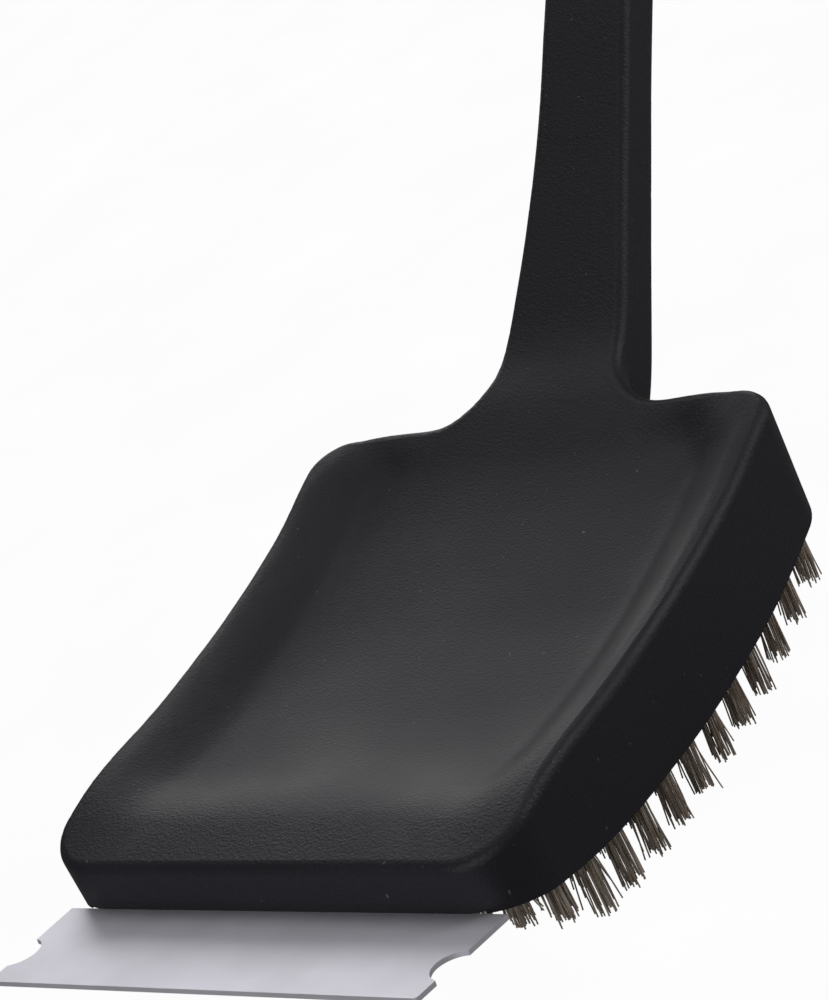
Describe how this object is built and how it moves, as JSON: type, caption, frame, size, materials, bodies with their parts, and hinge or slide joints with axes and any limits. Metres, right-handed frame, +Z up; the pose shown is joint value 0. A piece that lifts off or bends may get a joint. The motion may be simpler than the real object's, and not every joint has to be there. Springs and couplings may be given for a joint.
{
  "type": "grill cleaning brush",
  "caption": "Rigid grill cleaning brush: dished scoop-shaped head, rising hollow handle, rocker block of wire tufts and a notched steel scraper.",
  "frame": {"origin": "centre of the foot of the whole brush's bounding box, on the brush's middle plane, level with the lowest bristle tips", "axes": "+X across the head, to the right seen from above with the handle pointing away; +Y from the scraper back along the handle; +Z up, away from the bristle tips"},
  "size_m": [0.1224, 0.4176, 0.2032],
  "materials": {
    "black_plastic": "fine matte grain with a soft sheen",
    "block_plastic": "matte",
    "scraper_steel": "satin rolled sheet",
    "wire_steel": "drawn wire",
    "anchor_steel": "plain strip",
    "screw_steel": "zinc plated"
  },
  "bodies": {
    "root": {"top_shell": "black_plastic", "handle_under_shell": "black_plastic", "bristle_block": "block_plastic", "scraper_blade": "scraper_steel", "tuft_anchors": "anchor_steel", "block_screws": "screw_steel", "scraper_screws": "screw_steel", "handle_screws": "screw_steel", "tuft_row_01": "wire_steel", "tuft_row_02": "wire_steel", "tuft_row_03": "wire_steel", "tuft_row_04": "wire_steel", "tuft_row_05": "wire_steel", "tuft_row_06": "wire_steel", "tuft_row_07": "wire_steel", "tuft_row_08": "wire_steel", "tuft_row_09": "wire_steel", "tuft_row_10": "wire_steel", "tuft_row_11": "wire_steel", "tuft_row_12": "wire_steel", "tuft_row_13": "wire_steel"}
  },
  "joints": []
}
